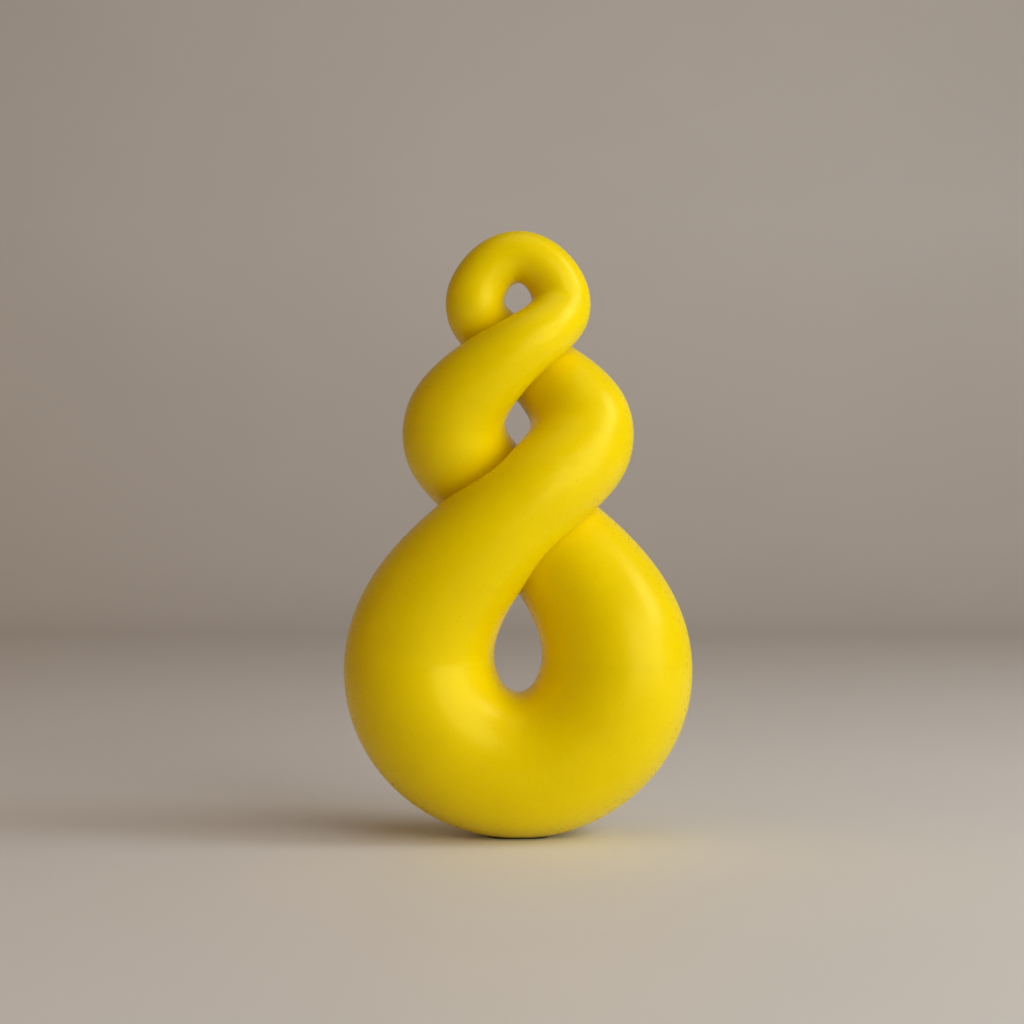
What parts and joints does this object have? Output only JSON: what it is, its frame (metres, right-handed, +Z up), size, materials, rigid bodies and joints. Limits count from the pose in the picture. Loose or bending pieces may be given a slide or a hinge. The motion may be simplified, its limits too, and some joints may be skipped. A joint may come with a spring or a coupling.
{
  "type": "twisted loop snake puzzle",
  "caption": "Tapering round tube closed into a loop with one full twist, made of hollow links that turn on upright swivels and open at a magnetic clasp.",
  "frame": {"origin": "centre of the foot's face on the surface it stands on, under the loop's upright axis", "axes": "+Z up along the loop's upright axis, +X to the right across the loop, -Y towards the viewer"},
  "size_m": [0.0922, 0.0456, 0.1604],
  "materials": {
    "yellow_shell": "smooth high gloss, saturated yellow, with faint hairline scratches",
    "end_plug": "satin moulded yellow plastic",
    "wear_ring": "satin low-friction plastic",
    "magnet": "nickel plated",
    "ballast": "sawn steel bar",
    "foot": "matt rubber",
    "spring_steel": "drawn wire",
    "swivel_steel": "turned and zinc plated"
  },
  "bodies": {
    "base": {"base_front_shell": "yellow_shell", "base_rear_shell": "yellow_shell", "base_left_plug": "end_plug", "base_right_plug": "end_plug", "ballast_weight": "ballast", "foot_pad": "foot", "left_base_pin": "swivel_steel", "left_base_wear_ring": "wear_ring", "left_base_washer": "swivel_steel", "left_base_nut": "swivel_steel", "left_base_spring": "spring_steel", "right_base_pin": "swivel_steel", "right_base_wear_ring": "wear_ring", "right_base_washer": "swivel_steel", "right_base_nut": "swivel_steel", "right_base_spring": "spring_steel"},
    "lower_front_link": {"lower_front_link_front_shell": "yellow_shell", "lower_front_link_rear_shell": "yellow_shell", "lower_front_link_bottom_plug": "end_plug", "lower_front_link_top_plug": "end_plug", "middle_pin": "swivel_steel", "middle_wear_ring": "wear_ring", "middle_spring": "spring_steel", "middle_washer": "swivel_steel", "middle_nut": "swivel_steel"},
    "lower_rear_link": {"lower_rear_link_front_shell": "yellow_shell", "lower_rear_link_rear_shell": "yellow_shell", "lower_rear_link_bottom_plug": "end_plug", "lower_rear_link_top_plug": "end_plug", "lower_clasp_magnet": "magnet"},
    "upper_rear_link": {"upper_rear_link_front_shell": "yellow_shell", "upper_rear_link_rear_shell": "yellow_shell", "upper_rear_link_bottom_plug": "end_plug", "upper_rear_link_top_plug": "end_plug", "left_top_pin": "swivel_steel", "left_top_wear_ring": "wear_ring", "left_top_spring": "spring_steel", "left_top_washer": "swivel_steel", "left_top_nut": "swivel_steel"},
    "upper_front_link": {"upper_front_link_front_shell": "yellow_shell", "upper_front_link_rear_shell": "yellow_shell", "upper_front_link_bottom_plug": "end_plug", "upper_front_link_top_plug": "end_plug", "upper_clasp_magnet": "magnet", "right_top_pin": "swivel_steel", "right_top_wear_ring": "wear_ring", "right_top_spring": "spring_steel", "right_top_washer": "swivel_steel", "right_top_nut": "swivel_steel"},
    "top_bend": {"top_bend_front_shell": "yellow_shell", "top_bend_rear_shell": "yellow_shell", "top_bend_left_plug": "end_plug", "top_bend_right_plug": "end_plug"}
  },
  "joints": [
    {"name": "left_base_swivel", "type": "hinge", "parent": "base", "child": "lower_front_link", "pos_m": [-0.0261, 0, 0.0456], "axis": [0, 0, 1], "range_deg": [-180, 0]},
    {"name": "right_base_swivel", "type": "hinge", "parent": "base", "child": "lower_rear_link", "pos_m": [0.0261, 0, 0.0456], "axis": [0, 0, 1], "range_deg": [-180, 0]},
    {"name": "middle_swivel", "type": "hinge", "parent": "lower_front_link", "child": "upper_rear_link", "pos_m": [0.0175, 0, 0.1072], "axis": [0, 0, 1], "continuous": true},
    {"name": "left_top_swivel", "type": "hinge", "parent": "upper_rear_link", "child": "top_bend", "pos_m": [-0.0117, 0, 0.1411], "axis": [0, 0, 1], "range_deg": [-60, 0]},
    {"name": "right_top_swivel", "type": "hinge", "parent": "top_bend", "child": "upper_front_link", "pos_m": [0.0117, 0, 0.1411], "axis": [0, 0, 1], "range_deg": [0, 60]}
  ]
}
